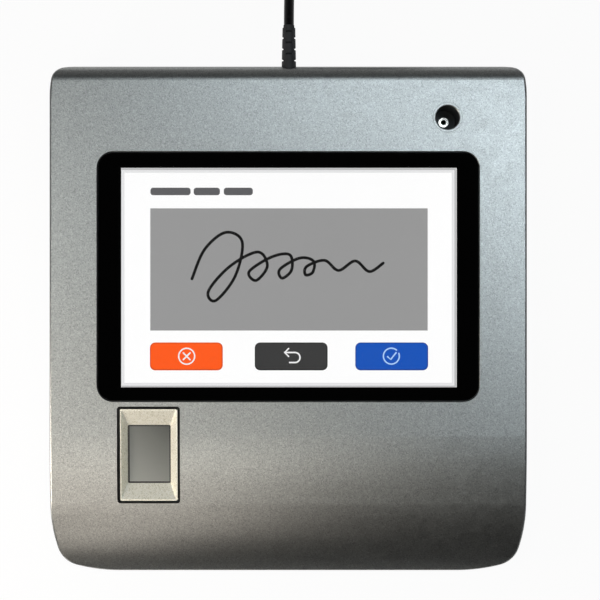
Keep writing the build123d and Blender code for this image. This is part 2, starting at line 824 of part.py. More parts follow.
strap_screws = screws(
    reader.offset(-strap_top - strap_thickness), strap_places, small_screw_length,
    small_screw_radius, small_head_radius, small_head_height,
)
strap_screws.part.label = "strap_screws"
export_step(strap_screws.part, "parts/strap_screws.step")

with BuildPart() as reader_socket:
    with BuildSketch(reader.offset(-strap_top - reader_socket_height)):
        with Locations((reader_socket_x, reader_socket_y)):
            Rectangle(reader_socket_width, reader_socket_depth)
    extrude(amount=reader_socket_height)
reader_socket.part.label = "reader_socket"
export_step(reader_socket.part, "parts/reader_socket.step")

# Pen well: a blind cup whose rim lies flush in the cover, with a flange glued under the cover
well_rim_radius = well_bore_radius + well_wall
with BuildPart() as pen_well:
    with BuildSketch(well_axis.offset(-well_depth - well_floor)):
        Circle(well_rim_radius)
    extrude(amount=well_depth + well_floor)
    with BuildSketch(well_axis.offset(-wall - well_flange_thickness)):
        Circle(well_flange_radius)
    extrude(amount=well_flange_thickness)
    with BuildSketch(well_axis.offset(-well_depth)):
        Circle(well_bore_radius)
    extrude(amount=well_depth, mode=Mode.SUBTRACT)
    with BuildSketch(well_axis.offset(-well_mouth)):
        Circle(well_bore_radius)
    extrude(amount=well_mouth, taper=-45, mode=Mode.SUBTRACT)
    with BuildSketch(well_axis.offset(-well_depth - well_floor)):
        Circle(eyelet_bore_radius + eyelet_wall + eyelet_gap)
    extrude(amount=well_floor, mode=Mode.SUBTRACT)
    with BuildSketch(well_axis.offset(-well_depth - eyelet_head)):
        Circle(eyelet_radius + eyelet_gap)
    extrude(amount=eyelet_head, mode=Mode.SUBTRACT)
pen_well.part.label = "pen_well"
export_step(pen_well.part, "parts/pen_well.step")

# A small metal eyelet through the floor of the well, its upper rim flush with the floor
eyelet_bottom = well_depth + well_floor + eyelet_head
with BuildPart() as well_eyelet:
    with BuildSketch(well_axis.offset(-eyelet_bottom)):
        Circle(eyelet_bore_radius + eyelet_wall)
    extrude(amount=eyelet_bottom - well_depth)
    with BuildSketch(well_axis.offset(-well_depth - eyelet_head)):
        Circle(eyelet_radius)
    extrude(amount=eyelet_head)
    with BuildSketch(well_axis.offset(-eyelet_bottom)):
        Circle(eyelet_radius)
    extrude(amount=eyelet_head)
    with BuildSketch(well_axis.offset(-eyelet_bottom)):
        Circle(eyelet_bore_radius)
    extrude(amount=eyelet_bottom, mode=Mode.SUBTRACT)
well_eyelet.part.label = "well_eyelet"
export_step(well_eyelet.part, "parts/well_eyelet.step")

# Main board on four posts of the bottom cover
board_y = board_front + board_depth / 2
with BuildPart() as main_board:
    with BuildSketch(Plane.XY.offset(board_bottom)):
        with Locations((0, board_y)):
            RectangleRounded(board_width, board_depth, board_corner)
        with Locations(*board_holes):
            Circle(small_screw_radius + board_screw_gap, mode=Mode.SUBTRACT)
    extrude(amount=board_thickness)
main_board.part.label = "main_board"
export_step(main_board.part, "parts/main_board.step")

board_screw_length = board_thickness + board_post_height - fit_gap
board_screw_plane = Plane(origin=(0, 0, board_top), x_dir=(1, 0, 0), z_dir=(0, 0, -1))
board_screw_places = [(x, -y) for x, y in board_holes]
board_screws = screws(
    board_screw_plane, board_screw_places, board_screw_length, small_screw_radius,
    small_head_radius, small_head_height,
)
board_screws.part.label = "board_screws"
export_step(board_screws.part, "parts/board_screws.step")


def board_place(share):
    """A place on the main board from its shares of the board's width and depth."""
    return (board_width * share[0], board_y + board_depth * share[1])


chip_sizes = [
    (processor_size, processor_size),
    (memory_width, memory_depth),
    (memory_width, memory_depth),
    (controller_size, controller_size),
    (controller_size, controller_size),
]
with BuildPart() as board_chips:
    for chip_size, chip_share in zip(chip_sizes, chip_shares):
        with BuildSketch(Plane.XY.offset(board_top)):
            with Locations(board_place(chip_share)):
                Rectangle(*chip_size)
        extrude(amount=chip_height)
board_chips.part.label = "board_chips"
export_step(board_chips.part, "parts/board_chips.step")

with BuildPart() as board_capacitors:
    with BuildSketch(Plane.XY.offset(board_top)):
        with Locations(*[board_place(share) for share in capacitor_shares]):
            Circle(capacitor_radius)
    extrude(amount=capacitor_height)
    fillet(board_capacitors.edges().group_by(Axis.Z)[-1], capacitor_edge)
board_capacitors.part.label = "board_capacitors"
export_step(board_capacitors.part, "parts/board_capacitors.step")

with BuildPart() as shield_can:
    with BuildSketch(Plane.XY.offset(board_top)):
        with Locations(board_place(can_share)):
            RectangleRounded(can_width, can_depth, can_corner)
    extrude(amount=can_height)
    with BuildSketch(Plane.XY.offset(board_top)):
        with Locations(board_place(can_share)):
            RectangleRounded(can_width - 2 * can_sheet, can_depth - 2 * can_sheet, can_corner - can_sheet)
    extrude(amount=can_height - can_sheet, mode=Mode.SUBTRACT)
shield_can.part.label = "shield_can"
export_step(shield_can.part, "parts/shield_can.step")

# Sockets on the board for the two flex ribbons and the reader's lead, and the cable's header
rear_socket_y = board_front + board_depth - rear_socket_inset
lead_x = reader_x + reader_socket_x
lead_socket_y = board_front + socket_depth / 2 + lead_socket_inset
socket_places = {
    "display_socket": (display_flex_x, rear_socket_y, display_flex_width),
    "digitizer_socket": (digitizer_flex_x, rear_socket_y, digitizer_flex_width),
    "fingerprint_socket": (lead_x, lead_socket_y, lead_width),
}
for socket_name, (socket_x, socket_y, ribbon_width) in socket_places.items():
    with BuildPart() as socket:
        with BuildSketch(Plane.XY.offset(board_top)):
            with Locations((socket_x, socket_y)):
                Rectangle(ribbon_width + socket_margin, socket_depth)
        extrude(amount=socket_height)
    socket.part.label = socket_name
    export_step(socket.part, "parts/" + socket_name + ".step")

header_y = board_front + board_depth - header_inset
header_top = board_top + header_height
with BuildPart() as cable_header:
    with BuildSketch(Plane.XY.offset(board_top)):
        with Locations((relief_x, header_y)):
            Rectangle(header_width, header_depth)
    extrude(amount=header_height)
    chamfer(cable_header.edges().group_by(Axis.Z)[-1], header_edge)
cable_header.part.label = "cable_header"
export_step(cable_header.part, "parts/cable_header.step")


def ribbon(x, width, points, bend):
    """A flat ribbon of the given width along a path of points in the plane at x."""
    with BuildPart() as strip:
        with BuildLine(Plane.YZ.offset(x)) as path:
            FilletPolyline(*points, radius=bend)
        with BuildSketch(Plane(origin=path.line @ 0, x_dir=(1, 0, 0), z_dir=path.line % 0)):
            Rectangle(width, flex_thickness)
        sweep()
    return strip


def flex_points(start_y, depth, reach):
    """Rearward from a layer of the display stack, down, and forward into a socket on the board."""
    start = deck.from_local_coords((0, start_y, -depth))
    turn = deck.from_local_coords((0, start_y + reach, -depth))
    entry_z = board_top + socket_height / 2
    entry_y = rear_socket_y + socket_depth / 2
    return [(start.Y, start.Z), (turn.Y, turn.Z), (turn.Y, entry_z), (entry_y, entry_z)]


# Ribbons from the display panel and the digitizer board down behind the stack to the main board
sheet_rear_y = rear_sheet_y + rear_sheet[1] / 2
bond_depth = front_sheet_bottom - flex_thickness / 2
display_flex = ribbon(
    display_flex_x, display_flex_width,
    flex_points(sheet_rear_y - flex_bond, bond_depth, display_flex_reach + flex_bond), flex_bend,
)
display_flex.part.label = "display_flex"
export_step(display_flex.part, "parts/display_flex.step")

digitizer_rear_y = display_y + digitizer_depth / 2
digitizer_middle = digitizer_bottom - digitizer_thickness / 2
digitizer_flex = ribbon(
    digitizer_flex_x, digitizer_flex_width,
    flex_points(digitizer_rear_y, digitizer_middle, digitizer_flex_reach), flex_bend,
)
digitizer_flex.part.label = "digitizer_flex"
export_step(digitizer_flex.part, "parts/digitizer_flex.step")

# Lead from the fingerprint reader back to the front edge of the main board, with some slack
lead_depth = strap_top + reader_socket_height / 2
lead_start = reader.from_local_coords((0, reader_socket_y + reader_socket_depth / 2, -lead_depth))
lead_out = reader.from_local_coords((0, reader_socket_y + reader_socket_depth / 2 + lead_bend, -lead_depth))
lead_end_y = lead_socket_y - socket_depth / 2
lead_end_z = board_top + socket_height / 2
lead_low = ((lead_out.Y + lead_end_y) / 2, lead_end_z - lead_sag)
fingerprint_lead = ribbon(
    lead_x, lead_width,
    [
        (lead_start.Y, lead_start.Z),
        (lead_out.Y, lead_out.Z),
        lead_low,
        (lead_end_y - lead_bend, lead_end_z),
        (lead_end_y, lead_end_z),
    ],
    lead_bend,
)
fingerprint_lead.part.label = "fingerprint_lead"
export_step(fingerprint_lead.part, "parts/fingerprint_lead.step")

# Strain relief: a tapered ribbed sleeve through the rear wall, with a flange inside the case
relief_tip_y = rear_y + relief_length
relief_flange_rear = rear_y - wall - relief_flange_gap
relief_flange_front = relief_flange_rear - relief_flange_thickness
relief_axis = Axis((relief_x, 0, relief_z), (0, 1, 0))
relief_limit = case_form(wall + relief_flange_gap, parting_height)
with BuildPart() as relief_flange:
    with BuildSketch(Plane.XZ.offset(-relief_flange_rear)):
        with Locations((relief_x, relief_z)):
            Rectangle(relief_flange_width, relief_flange_height)
    extrude(amount=relief_flange_thickness)
    add(relief_limit, mode=Mode.INTERSECT)

with BuildPart() as strain_relief:
    with BuildSketch(Plane.YZ.offset(relief_x)):
        with BuildLine():
            Polyline(
                (relief_flange_rear - relief_hole_gap, relief_z),
                (relief_flange_rear - relief_hole_gap, relief_z + relief_radius),
                (rear_y, relief_z + relief_radius),
                (relief_tip_y, relief_z + relief_tip_radius),
                (relief_tip_y, relief_z),
                close=True,
            )
        make_face()
    revolve(axis=relief_axis)
    # Grooves from above and below, with side slots between them, let the sleeve bend
    slot_depth = relief_radius - relief_core_radius
    slot_reach = relief_core_radius + slot_depth / 2
    for groove in range(relief_grooves):
        groove_y = rear_y + relief_first_groove + groove * relief_pitch
        groove_places = [(relief_x, groove_y, relief_z + side * slot_reach) for side in (-1, 1)]
        with Locations(*groove_places):
            Box(2 * relief_radius, relief_groove_width, slot_depth, mode=Mode.SUBTRACT)
    for groove in range(relief_grooves + 1):
        slot_y = rear_y + relief_first_groove + (groove - 1 / 2) * relief_pitch
        with Locations((relief_x - slot_reach, slot_y, relief_z), (relief_x + slot_reach, slot_y, relief_z)):
            Box(slot_depth, relief_slot_width, 2 * relief_radius, mode=Mode.SUBTRACT)
    add(relief_flange.part)
strain_relief.part.label = "strain_relief"
export_step(strain_relief.part, "parts/strain_relief.step")

# The cable inside the case, from the strain relief down to its header
with BuildPart() as cable_tail:
    with BuildLine(Plane.YZ.offset(relief_x)) as tail_path:
        tail_bend = JernArc((relief_flange_front, relief_z), (-1, 0), relief_flange_front - header_y, 90)
        Line(tail_bend @ 1, (header_y, header_top))
    with BuildSketch(Plane(origin=tail_path.line @ 0, x_dir=(1, 0, 0), z_dir=tail_path.line % 0)):
        Circle(cable_diameter / 2)
    sweep()
cable_tail.part.label = "cable_tail"
export_step(cable_tail.part, "parts/cable_tail.step")


def bend_radii(points):
    """As large an arc at each corner of the route as its two runs allow."""
    radii = []
    for before, corner, after in zip(points, points[1:], points[2:]):
        run_in = Vector(corner) - Vector(before)
        run_out = Vector(after) - Vector(corner)
        half_turn = radians(run_in.get_angle(run_out)) / 2
        radii.append(bend_share * min(run_in.length, run_out.length) / tan(half_turn))
    return radii


def free_cable(points):
    """A round cable of straight runs and tangent arcs, with its radii and volume printed."""
    radii = bend_radii(points)
    with BuildPart() as cable:
        with BuildLine() as route:
            FilletPolyline(*points, radius=radii)
        with BuildSketch(Plane(origin=route.line @ 0, z_dir=route.line % 0)):
            Circle(cable_diameter / 2)
        sweep()
    length = route.wire().length
    expected = length * pi * (cable_diameter / 2) ** 2
    print("radii", [round(radius, 1) for radius in radii], "length", round(length, 1))
    print("volume", round(cable.part.volume, 1), "section times length", round(expected, 1))
    return cable


usb_cable = free_cable(cable_drop_points)
usb_cable.part.label = "usb_cable"
export_step(usb_cable.part, "parts/usb_cable.step")

usb_cable_end = free_cable(cable_end_points)
usb_cable_end.part.label = "usb_cable_end"
export_step(usb_cable_end.part, "parts/usb_cable_end.step")

# Coil: the cable arrives towards +Y on the coil's left side and winds clockwise seen from above
coil_start = Vector(cable_drop_points[-1])
coil_centre = coil_start + Vector(coil_radius, cable_diameter, 0)
coil_inner_radius = coil_radius - coil_pitch * layer_turns
layer_angle = 2 * pi * layer_turns
coil_angle = coil_layers * layer_angle
half_climb = pi / 2


def coil_place(angle):
    """A point of the wound cable's centre line after it has turned by angle."""
    reversal = round(angle / layer_angle)
    away = abs(angle - reversal * layer_angle)
    if 0 < reversal < coil_layers and away < half_climb:
        away = away ** 2 / (2 * half_climb) + half_climb / 2
    step = coil_pitch * away / (2 * pi)
    radius = coil_inner_radius + step if reversal % 2 else coil_radius - step
    height = 0
    for climb in range(1, coil_layers):
        share = (angle - climb * layer_angle + half_climb) / (2 * half_climb)
        height += coil_rise * (1 - cos(pi * min(max(share, 0), 1))) / 2
    return coil_centre + Vector(-radius * cos(angle), radius * sin(angle), height)


def coil_heading(angle):
    """The direction of the wound cable's centre line there."""
    return (coil_place(angle + coil_probe) - coil_place(angle - coil_probe)).normalized()


def biarc_joint(start, end, start_heading, end_heading):
    """Where the two tangent arcs between two points meet, and their shared direction."""
    chord = end - start
    headings = start_heading + end_heading
    spread = 2 * (1 - start_heading.dot(end_heading))
    along = chord.dot(headings)
    reach = (sqrt(along ** 2 + spread * chord.dot(chord)) - along) / spread
    first = start + start_heading * reach
    second = end - end_heading * reach
    return (first + second) / 2, (second - first).normalized()


quarter_turns = ceil(coil_angle / (pi / 2))
coil_angles = [coil_angle * step / quarter_turns for step in range(quarter_turns + 1)]
coil_points = [coil_place(angle) for angle in coil_angles]
coil_headings = [coil_heading(angle) for angle in coil_angles]
coil_headings[0] = Vector(0, 1, 0)
coil_headings[-1] = Vector(1, 0, 0)
with BuildPart() as cable_coil:
    with BuildLine() as coil_path:
        Line(coil_start, coil_points[0])
        for start, end, heading, next_heading in zip(
            coil_points, coil_points[1:], coil_headings, coil_headings[1:]
        ):
            joint, joint_heading = biarc_joint(start, end, heading, next_heading)
            TangentArc(start, joint, tangent=heading)
            TangentArc(joint, end, tangent=joint_heading)
        Line(coil_points[-1], coil_points[-1] + coil_headings[-1] * cable_diameter)
    with BuildSketch(Plane(origin=coil_start, z_dir=coil_headings[0])):
        Circle(cable_diameter / 2)
    sweep()
cable_coil.part.label = "cable_coil"
export_step(cable_coil.part, "parts/cable_coil.step")

# Least gap between turns, measured on points of the centre line over half a turn apart
gap_points = [
    edge @ (sample / gap_samples) for edge in coil_path.line.edges() for sample in range(gap_samples)
]
apart = half_turn_arcs * gap_samples
least_gap = min(
    (gap_points[first] - gap_points[second]).length - cable_diameter
    for first in range(len(gap_points))
    for second in range(first + apart, len(gap_points))
)
print("coil length", round(coil_path.wire().length, 1), "least gap", round(least_gap, 2))
print("coil ends", coil_start, coil_path.line @ 1)

# Two flat ties round the whole bundle of turns, which the coil stands on
bundle_half = (coil_radius - coil_inner_radius) / 2
tie_half_width = bundle_half + cable_diameter / 2 + tie_gap
tie_low = coil_start.Z - cable_diameter / 2 - tie_gap
tie_high = coil_start.Z + (coil_layers - 1) * coil_rise + cable_diameter / 2 + tie_gap
with BuildPart() as coil_ties:
    for tie_angle in tie_angles:
        outward = Vector(cos(radians(tie_angle)), sin(radians(tie_angle)), 0)
        middle = coil_centre + outward * (coil_radius - bundle_half)
        tie_centre = (middle.X, middle.Y, (tie_low + tie_high) / 2)
        with BuildSketch(Plane(origin=tie_centre, x_dir=outward, z_dir=outward.cross(Vector(0, 0, 1)))):
            RectangleRounded(
                2 * (tie_half_width + tie_thickness), tie_high - tie_low + 2 * tie_thickness,
                tie_corner + tie_thickness,
            )
            RectangleRounded(2 * tie_half_width, tie_high - tie_low, tie_corner, mode=Mode.SUBTRACT)
        extrude(amount=tie_width / 2, both=True)
coil_ties.part.label = "coil_ties"
export_step(coil_ties.part, "parts/coil_ties.step")

# Plug: a moulded body with a short tail, a sheet metal shell and the tongue inside it
plug_frame = Plane(origin=cable_end_points[-1], x_dir=(0, 1, 0), z_dir=(1, 0, 0))
plug_front = plug_tail_length + plug_length
with BuildPart() as usb_plug_body:
    with BuildSketch(plug_frame):
        Circle(relief_tip_radius)
    with BuildSketch(plug_frame.offset(plug_tail_length)):
        Circle(plug_tail_radius)
    loft()
    with BuildSketch(plug_frame.offset(plug_tail_length)):
        RectangleRounded(plug_width, plug_height, plug_corner)
    extrude(amount=plug_length)
    fillet(usb_plug_body.faces().sort_by(Axis.X)[-1].edges(), plug_edge)
    grip_depth = plug_height / 2 - plug_grip_inset
    for grip_bottom in (grip_depth, -grip_depth - overrun):
        with BuildSketch(Plane(origin=plug_frame.origin).offset(grip_bottom)):
            with Locations((plug_tail_length + plug_length / 2, 0)):
                RectangleRounded(plug_grip_length, plug_grip_width, plug_corner)
        extrude(amount=overrun, mode=Mode.SUBTRACT)
usb_plug_body.part.label = "usb_plug_body"
export_step(usb_plug_body.part, "parts/usb_plug_body.step")

with BuildPart() as usb_plug_shell:
    with BuildSketch(plug_frame.offset(plug_front)):
        RectangleRounded(shell_width, shell_height, shell_corner)
        Rectangle(shell_width - 2 * shell_sheet, shell_height - 2 * shell_sheet, mode=Mode.SUBTRACT)
    extrude(amount=shell_length)
    with BuildSketch(Plane(origin=plug_frame.origin)):
        with Locations((plug_front + shell_window_reach, 0)):
            with GridLocations(0, 2 * shell_window_x, 1, 2):
                Rectangle(shell_window, shell_window)
    extrude(amount=shell_height, mode=Mode.SUBTRACT)
usb_plug_shell.part.label = "usb_plug_shell"
export_step(usb_plug_shell.part, "parts/usb_plug_shell.step")

tongue_y = -shell_height / 2 + shell_sheet + tongue_gap + tongue_height / 2
with BuildPart() as usb_plug_tongue:
    with BuildSketch(plug_frame.offset(plug_front)):
        with Locations((0, tongue_y)):
            Rectangle(shell_width - 2 * (shell_sheet + tongue_gap), tongue_height)
    extrude(amount=shell_length - tongue_inset)
usb_plug_tongue.part.label = "usb_plug_tongue"
export_step(usb_plug_tongue.part, "parts/usb_plug_tongue.step")
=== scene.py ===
import json
import math

import bmesh
import bpy
from mathutils import Matrix, Vector


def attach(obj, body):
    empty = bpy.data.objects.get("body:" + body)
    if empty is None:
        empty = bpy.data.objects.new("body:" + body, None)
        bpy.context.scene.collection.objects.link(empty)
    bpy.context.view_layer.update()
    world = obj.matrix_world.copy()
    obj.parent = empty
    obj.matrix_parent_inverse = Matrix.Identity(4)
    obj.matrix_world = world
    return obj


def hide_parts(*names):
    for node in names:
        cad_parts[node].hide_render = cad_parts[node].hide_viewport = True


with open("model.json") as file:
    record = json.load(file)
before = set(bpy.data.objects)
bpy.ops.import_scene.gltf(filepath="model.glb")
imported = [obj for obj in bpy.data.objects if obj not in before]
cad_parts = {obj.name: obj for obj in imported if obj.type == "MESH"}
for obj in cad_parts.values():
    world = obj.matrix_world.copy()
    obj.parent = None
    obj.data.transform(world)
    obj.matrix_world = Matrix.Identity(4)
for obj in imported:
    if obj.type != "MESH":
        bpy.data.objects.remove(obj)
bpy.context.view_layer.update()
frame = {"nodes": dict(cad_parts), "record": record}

# A counter signature pad, seen from straight above its sloping deck. Sizes are in millimetres.
MM = 0.001
nodes = frame["nodes"]

# The deck plane: x to the right, v up the slope, lift away from the deck
deck_slope = math.radians(5)
deck_origin = Vector((0, 0, 26.542))
rightward = Vector((1, 0, 0))
up_slope = Vector((0, math.cos(deck_slope), math.sin(deck_slope)))
off_deck = Vector((0, -math.sin(deck_slope), math.cos(deck_slope)))

# Rectangles on the deck, each a centre and a size in x and v
page_centre = (0.25, 14.4)
glass_window = (page_centre, (121.9, 80.4))
glass_opening = ((0, 14.75), (136.8, 89.4))
reader_frame = ((-49.8, -49.0), (20.45, 32.8))
reader_window = ((-49.8, -48.8), (14.3, 19.9))


def on_deck(x, v, lift=0):
    """A place in metres from its millimetres on the deck plane."""
    return (deck_origin + rightward * x + up_slope * v + off_deck * lift) * MM


def add_object(name, data):
    """An object of the scene that holds the given data."""
    added = bpy.data.objects.new(name, data)
    bpy.context.scene.collection.objects.link(added)
    return added


# Camera, square to the deck
camera_place = (4.2, 6.4, 607)
camera_lens = 102.08
camera_data = bpy.data.cameras.new("pad_camera")
camera_data.lens = camera_lens
camera = add_object("pad_camera", camera_data)
camera.matrix_world = (
    Matrix.Translation(on_deck(*camera_place))
    @ Matrix((rightward, up_slope, off_deck)).transposed().to_4x4()
)
bpy.context.scene.camera = camera

# The cable: down from the strain relief, round its coil, and out to the plug
cable_diameter = 3.64
cable_drop = [
    (0.2, 105.3, 29.6), (0.2, 116.5, 29.6), (0.9, 130.0, 22.6),
    (2.1, 142.0, 9.2), (3.0, 153.0, 2.92), (3.0, 166.0, 2.92),
]
cable_end = [
    (32.94, 195.94, 15.52), (44.3, 195.94, 15.52), (57.3, 197.2, 10.6),
    (69.3, 198.6, 4.0), (80.3, 198.6, 4.0),
]
coil_centre = Vector((29.3, 169.64, 2.92))
coil_radius = 26.3
coil_pitch = 4.3
coil_rise = 4.2
coil_layers = 4
layer_turns = 2.5625
points_per_turn = 12


def coil_turn(angle):
    """A point of the coil's turns, which spiral in, climb a layer and spiral out again."""
    layer_angle = 2 * math.pi * layer_turns
    reversal = round(angle / layer_angle)
    away = abs(angle - reversal * layer_angle)
    if 0 < reversal < coil_layers and away < math.pi / 2:
        away = away ** 2 / math.pi + math.pi / 4
    drift = coil_pitch * away / (2 * math.pi)
    if reversal % 2:
        radius = coil_radius - coil_pitch * layer_turns + drift
    else:
        radius = coil_radius - drift
    radius /= math.cos(math.pi / points_per_turn)
    height = 0
    for climb in range(1, coil_layers):
        share = (angle - climb * layer_angle) / math.pi + 0.5
        height += coil_rise * (1 - math.cos(math.pi * min(max(share, 0), 1))) / 2
    return coil_centre + Vector((-radius * math.cos(angle), radius * math.sin(angle), height))


coil_steps = round(points_per_turn * coil_layers * layer_turns)
step_angle = 2 * math.pi / points_per_turn
coil_turns = [coil_turn((step + 0.5) * step_angle) for step in range(coil_steps)]
cable_route = [Vector(place) * MM for place in cable_drop + coil_turns + cable_end]

cable_curve = bpy.data.curves.new("pad_cable", "CURVE")
cable_curve.dimensions = "3D"
cable_line = cable_curve.splines.new("NURBS")
cable_line.points.add(len(cable_route) - 1)
for control, place in zip(cable_line.points, cable_route):
    control.co = (*place, 1)
    control.radius = cable_diameter / 2 * MM
cable_line.order_u = 3
cable_line.use_endpoint_u = True
cable_curve.resolution_u = 6
cable_curve.bevel_depth = 1
cable_curve.bevel_resolution = 6
cable_curve.use_fill_caps = True
pad_cable = add_object("pad_cable", cable_curve)
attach(pad_cable, "root")
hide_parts("usb_cable", "cable_coil", "usb_cable_end")


# Steps from which the shaders are put together
def feed(tree, value, socket):
    """A socket linked to a node's output or set to a plain value."""
    if isinstance(value, bpy.types.NodeSocket):
        tree.links.new(value, socket)
    else:
        socket.default_value = value


def add_node(tree, kind, output, **fed):
    """An output of a new node whose inputs are fed."""
    node = tree.nodes.new(kind)
    for label, value in fed.items():
        feed(tree, value, node.inputs[label.replace("_", " ")])
    return node.outputs[output]


def add_noise(tree, place, scale, detail, roughness=0.5):
    """A noise texture over a place."""
    return add_node(
        tree, "ShaderNodeTexNoise", "Fac",
        Vector=place, Scale=scale, Detail=detail, Roughness=roughness,
    )


def add_range(tree, value, low, high, to_low=0, to_high=1):
    """A clamped map of a value from one span to another."""
    return add_node(
        tree, "ShaderNodeMapRange", "Result",
        Value=value, From_Min=low, From_Max=high, To_Min=to_low, To_Max=to_high,
    )


def add_blend(tree, share, first, second):
    """A mix of two colours by the share of the second."""
    mix = tree.nodes.new("ShaderNodeMix")
    mix.data_type = "RGBA"
    for label, value in (("Factor", share), ("A", first), ("B", second)):
        feed(tree, value, mix.inputs[label])
    return mix.outputs["Result"]


def add_math(tree, operation, *values):
    """A sum, product, comparison or other arithmetic of values."""
    node = tree.nodes.new("ShaderNodeMath")
    node.operation = operation
    for value, socket in zip(values, node.inputs):
        feed(tree, value, socket)
    return node.outputs["Value"]


def add_vector_math(tree, operation, output, first, second=None):
    """Arithmetic of vectors, or of one vector alone."""
    node = tree.nodes.new("ShaderNodeVectorMath")
    node.operation = operation
    tree.links.new(first, node.inputs[0])
    if second is not None:
        node.inputs[1].default_value = second
    return node.outputs[output]


def object_place(tree):
    """The object's own coordinates, in metres."""
    return tree.nodes.new("ShaderNodeTexCoord").outputs["Object"]


def split_vector(tree, vector):
    """The X, Y and Z outputs of a vector."""
    parts = tree.nodes.new("ShaderNodeSeparateXYZ")
    tree.links.new(vector, parts.inputs["Vector"])
    return parts.outputs


# Shader groups, each an effect that several finishes share
def shader_group(name, inputs, outputs):
    """A node group with named inputs and outputs, its inputs' values and its end node."""
    group = bpy.data.node_groups.new(name, "ShaderNodeTree")
    for label, value in inputs.items():
        kind = "NodeSocketColor" if isinstance(value, tuple) else "NodeSocketFloat"
        socket = group.interface.new_socket(label, in_out="INPUT", socket_type=kind)
        socket.default_value = value
    for label in outputs:
        kind = "NodeSocketColor" if label == "Colour" else "NodeSocketFloat"
        group.interface.new_socket(label, in_out="OUTPUT", socket_type=kind)
    given = group.nodes.new("NodeGroupInput").outputs
    return group, given, group.nodes.new("NodeGroupOutput")


def moulded_grain():
    """The fine texture of a moulded surface, with slow patches of shade and gloss."""
    patch_weight, grain_weight = 0.6, 0.4
    patch_span, grain_span = (0.35, 0.65), (0.3, 0.7)
    group, given, end = shader_group(
        "moulded_grain",
        {
            "Colour": (0.5, 0.5, 0.5, 1), "Shade": (0.4, 0.4, 0.4, 1),
            "Grain": 2500, "Patch": 40, "Smooth": 0.4, "Rough": 0.5,
        },
        ["Colour", "Roughness", "Height"],
    )
    place = object_place(group)
    grain = add_noise(group, place, given["Grain"], detail=2, roughness=0.6)
    patch = add_noise(group, place, given["Patch"], detail=4)
    patch_share = add_range(group, patch, *patch_span)
    grain_share = add_range(group, grain, *grain_span)
    both = add_math(
        group, "MULTIPLY_ADD", patch_share, patch_weight,
        add_math(group, "MULTIPLY", grain_share, grain_weight),
    )
    colour = add_blend(group, both, given["Colour"], given["Shade"])
    gloss = add_range(group, both, 0, 1, given["Smooth"], given["Rough"])
    for label, value in (("Colour", colour), ("Roughness", gloss), ("Height", grain)):
        group.links.new(value, end.inputs[label])
    return group


def paint_flake():
    """Metal flakes in paint: cells of lighter and darker colour that tip a little each way."""
    bright_from, dark_from = 0.62, 0.6
    cell_weight, cloud_weight = 0.5, 0.5
    cloud_scale, cloud_span = 300, (0.3, 0.7)
    group, given, end = shader_group(
        "paint_flake",
        {
            "Colour": (0.5, 0.5, 0.5, 1), "Flake": (0.7, 0.7, 0.7, 1),
            "Deep": (0.3, 0.3, 0.3, 1), "Flake Scale": 2200, "Smooth": 0.38, "Rough": 0.5,
        },
        ["Colour", "Roughness", "Height"],
    )
    place = object_place(group)
    cells = add_node(
        group, "ShaderNodeTexVoronoi", "Color", Vector=place, Scale=given["Flake Scale"]
    )
    chance = group.nodes.new("ShaderNodeSeparateColor")
    group.links.new(cells, chance.inputs["Color"])
    bright = add_range(group, chance.outputs["Red"], bright_from, 1)
    dark = add_range(group, chance.outputs["Green"], dark_from, 1)
    lit_flakes = add_blend(group, bright, given["Colour"], given["Flake"])
    colour = add_blend(group, dark, lit_flakes, given["Deep"])
    cloud = add_noise(group, place, cloud_scale, detail=3)
    both = add_math(
        group, "MULTIPLY_ADD", chance.outputs["Blue"], cell_weight,
        add_range(group, cloud, *cloud_span, 0, cloud_weight),
    )
    gloss = add_range(group, both, 0, 1, given["Smooth"], given["Rough"])
    height = chance.outputs["Red"]
    for label, value in (("Colour", colour), ("Roughness", gloss), ("Height", height)):
        group.links.new(value, end.inputs[label])
    return group


def settled_dust():
    """A trace of pale dust on what faces up, for the matt dark pieces."""
    upward_from = 0.3
    speck_scale, speck_span = 900, (0.45, 0.75)
    group, given, end = shader_group(
        "settled_dust",
        {"Colour": (0.1, 0.1, 0.1, 1), "Dust": (0.4, 0.4, 0.38, 1), "Amount": 0.1},
        ["Colour"],
    )
    normal = group.nodes.new("ShaderNodeNewGeometry").outputs["Normal"]
    upward = add_range(group, split_vector(group, normal)["Z"], upward_from, 1)
    specks = add_noise(group, object_place(group), speck_scale, detail=5, roughness=0.7)
    share = add_math(group, "MULTIPLY", add_range(group, specks, *speck_span), upward)
    share = add_math(group, "MULTIPLY", share, given["Amount"])
    dusty = add_blend(group, share, given["Colour"], given["Dust"])
    group.links.new(dusty, end.inputs["Colour"])
    return group


def deck_place():
    """Where a surface lies on the deck plane, in millimetres."""
    group, _, end = shader_group("deck_place", {}, ["X", "V", "Lift"])
    from_origin = add_vector_math(
        group, "SUBTRACT", "Vector", object_place(group), deck_origin * MM
    )
    for label, way in (("X", rightward), ("V", up_slope), ("Lift", off_deck)):
        along = add_vector_math(group, "DOT_PRODUCT", "Value", from_origin, way / MM)
        group.links.new(along, end.inputs[label])
    return group


deck_place_group = deck_place()
moulded_grain_group = moulded_grain()
paint_flake_group = paint_flake()
settled_dust_group = settled_dust()


def inside(tree, place, centre, size):
    """A share of 1 within a rectangle on the deck, else 0."""
    spans = [
        add_math(tree, "COMPARE", place[label], middle, width / 2)
        for label, middle, width in zip(("X", "V"), centre, size)
    ]
    return add_math(tree, "MULTIPLY", *spans)


def linear(level):
    """The linear value of a screen's level from 0 to 255."""
    share = level / 255
    return ((share + 0.055) / 1.055) ** 2.4 if level > 10 else share / 12.92


def rgb(red, green, blue):
    """A colour as it looks on a screen, in the linear values that shaders take."""
    return (linear(red), linear(green), linear(blue), 1)


